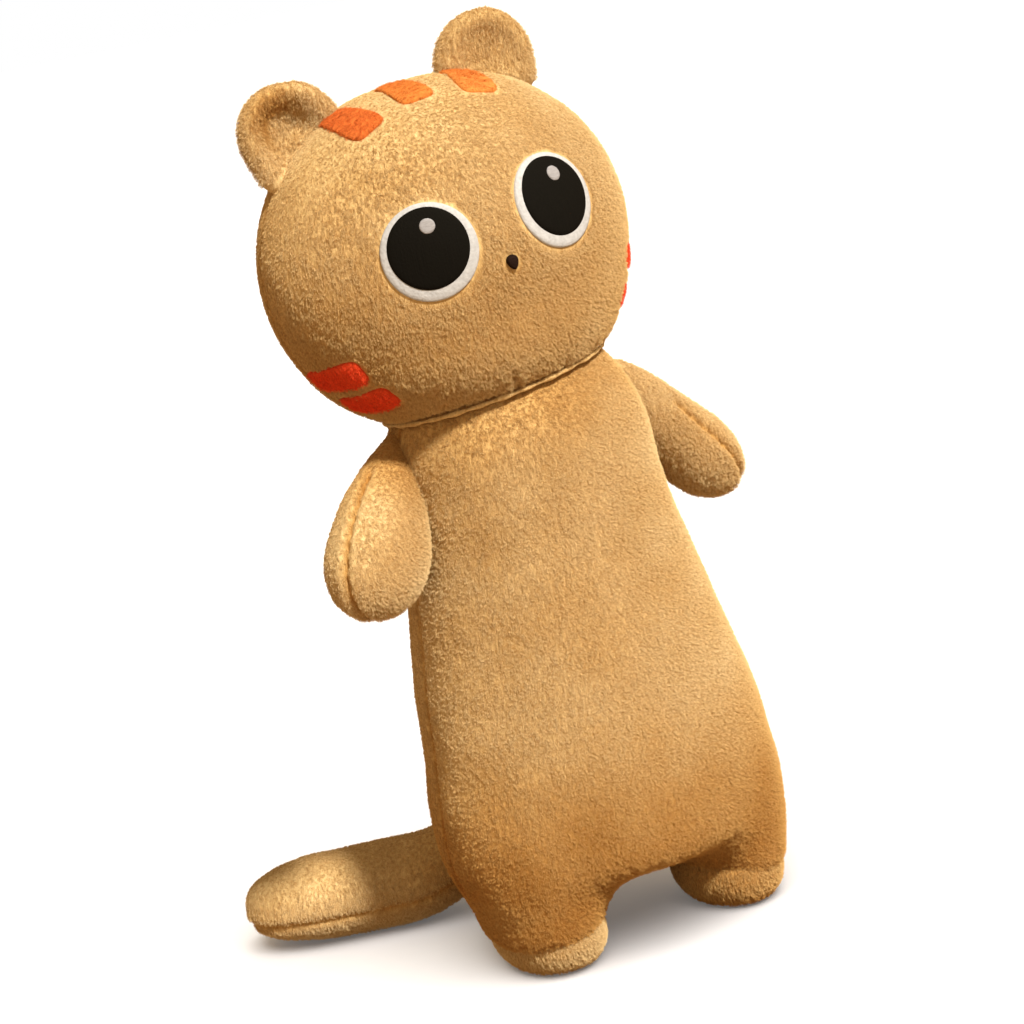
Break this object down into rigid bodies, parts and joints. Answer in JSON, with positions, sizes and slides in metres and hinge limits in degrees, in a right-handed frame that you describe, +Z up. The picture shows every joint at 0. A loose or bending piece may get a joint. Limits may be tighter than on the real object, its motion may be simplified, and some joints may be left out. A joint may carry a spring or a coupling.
{
  "type": "plush cat",
  "caption": "Standing plush cat with an oval head, flat eyes, pear-shaped body, paddle arms, short feet and a thick tail resting on the floor behind.",
  "frame": {"origin": "middle of the bounding box's bottom face, on the floor under the cat", "axes": "+Z up, the cat faces -Y, +X towards the cat's left side"},
  "size_m": [0.316, 0.2706, 0.54],
  "materials": {
    "plush": "short pile plush",
    "fibre": "loose polyester fibre",
    "white_felt": "matte felt",
    "black_felt": "satin stitch",
    "glint": "embroidery",
    "nose": "embroidery",
    "crown_stripe": "short pile plush",
    "cheek_stripe": "short pile plush",
    "thread": "stitched thread"
  },
  "bodies": {
    "torso": {"torso_front_panel": "plush", "torso_back_panel": "plush", "torso_stuffing": "fibre"},
    "neck_core": {"neck_stuffing": "fibre"},
    "neck_ring": {"neck_seam_thread": "thread"},
    "head": {"head_front_panel": "plush", "head_back_panel": "plush", "head_stuffing": "fibre", "nose": "nose", "crown_stripe_right": "crown_stripe", "crown_stripe_centre": "crown_stripe", "crown_stripe_left": "crown_stripe", "eye_white_right": "white_felt", "eye_black_right": "black_felt", "eye_glint_right": "glint", "cheek_stripe_upper_right": "cheek_stripe", "cheek_stripe_lower_right": "cheek_stripe", "eye_white_left": "white_felt", "eye_black_left": "black_felt", "eye_glint_left": "glint", "cheek_stripe_upper_left": "cheek_stripe", "cheek_stripe_lower_left": "cheek_stripe"},
    "ear_right": {"ear_front_right": "plush", "ear_stuffing_right": "fibre", "ear_back_right": "plush"},
    "shoulder_right": {"shoulder_stuffing_right": "fibre"},
    "arm_right": {"arm_front_panel_right": "plush", "arm_back_panel_right": "plush", "arm_stuffing_right": "fibre"},
    "foot_right": {"foot_panel_right": "plush", "foot_stuffing_right": "fibre"},
    "ear_left": {"ear_front_left": "plush", "ear_stuffing_left": "fibre", "ear_back_left": "plush"},
    "shoulder_left": {"shoulder_stuffing_left": "fibre"},
    "arm_left": {"arm_front_panel_left": "plush", "arm_back_panel_left": "plush", "arm_stuffing_left": "fibre"},
    "foot_left": {"foot_panel_left": "plush", "foot_stuffing_left": "fibre"},
    "tail_root": {"tail_root_stuffing": "fibre"},
    "tail": {"tail_top_panel": "plush", "tail_bottom_panel": "plush", "tail_stuffing": "fibre"}
  },
  "joints": [
    {"name": "neck_nod", "type": "hinge", "parent": "torso", "child": "neck_core", "pos_m": [0.01675, -0.04967, 0.292], "axis": [1, 0, 0], "range_deg": [-12, 12], "stiffness_Nm_per_rad": 2.5},
    {"name": "neck_tilt", "type": "hinge", "parent": "neck_core", "child": "neck_ring", "pos_m": [0.01675, -0.04967, 0.292], "axis": [0, 1, 0], "range_deg": [-3, 12], "stiffness_Nm_per_rad": 2.5},
    {"name": "neck_turn", "type": "hinge", "parent": "neck_ring", "child": "head", "pos_m": [0.01675, -0.04967, 0.292], "axis": [-0.1392, 0.0622, 0.9883], "range_deg": [-30, 30], "stiffness_Nm_per_rad": 1.2},
    {"name": "shoulder_swing_right", "type": "hinge", "parent": "torso", "child": "shoulder_right", "pos_m": [-0.06395, -0.04967, 0.299], "axis": [1, 0, 0], "range_deg": [-35, 10], "stiffness_Nm_per_rad": 0.4},
    {"name": "shoulder_raise_right", "type": "hinge", "parent": "shoulder_right", "child": "arm_right", "pos_m": [-0.06395, -0.04967, 0.299], "axis": [-0.5711, 0.8209, 0], "range_deg": [-1, 45], "stiffness_Nm_per_rad": 0.4},
    {"name": "shoulder_swing_left", "type": "hinge", "parent": "torso", "child": "shoulder_left", "pos_m": [0.09905, -0.04967, 0.299], "axis": [1, 0, 0], "range_deg": [-35, 35], "stiffness_Nm_per_rad": 0.4},
    {"name": "shoulder_raise_left", "type": "hinge", "parent": "shoulder_left", "child": "arm_left", "pos_m": [0.09905, -0.04967, 0.299], "axis": [0.158, -0.9874, 0], "range_deg": [-3, 45], "stiffness_Nm_per_rad": 0.4},
    {"name": "ear_fold_right", "type": "hinge", "parent": "head", "child": "ear_right", "pos_m": [-0.07133, -0.03613, 0.48723], "axis": [0.8986, 0.0076, 0.4387], "range_deg": [-15, 20], "stiffness_Nm_per_rad": 0.05},
    {"name": "ear_fold_left", "type": "hinge", "parent": "head", "child": "ear_left", "pos_m": [0.04748, -0.03759, 0.50405], "axis": [0.9846, -0.0308, -0.1721], "range_deg": [-15, 20], "stiffness_Nm_per_rad": 0.05},
    {"name": "ankle_right", "type": "hinge", "parent": "torso", "child": "foot_right", "pos_m": [-0.03425, -0.06168, 0.044], "axis": [1, 0, 0], "range_deg": [-12, 12], "stiffness_Nm_per_rad": 8},
    {"name": "ankle_left", "type": "hinge", "parent": "torso", "child": "foot_left", "pos_m": [0.08375, -0.06168, 0.044], "axis": [1, 0, 0], "range_deg": [-12, 12], "stiffness_Nm_per_rad": 8},
    {"name": "tail_swing", "type": "hinge", "parent": "torso", "child": "tail_root", "pos_m": [0.02475, 0.03832, 0.058], "axis": [0, 0, 1], "range_deg": [-70, 1], "stiffness_Nm_per_rad": 0.5},
    {"name": "tail_lift", "type": "hinge", "parent": "tail_root", "child": "tail", "pos_m": [0.02475, 0.03832, 0.058], "axis": [0.4067, 0.9135, 0], "range_deg": [0, 20], "stiffness_Nm_per_rad": 1}
  ]
}
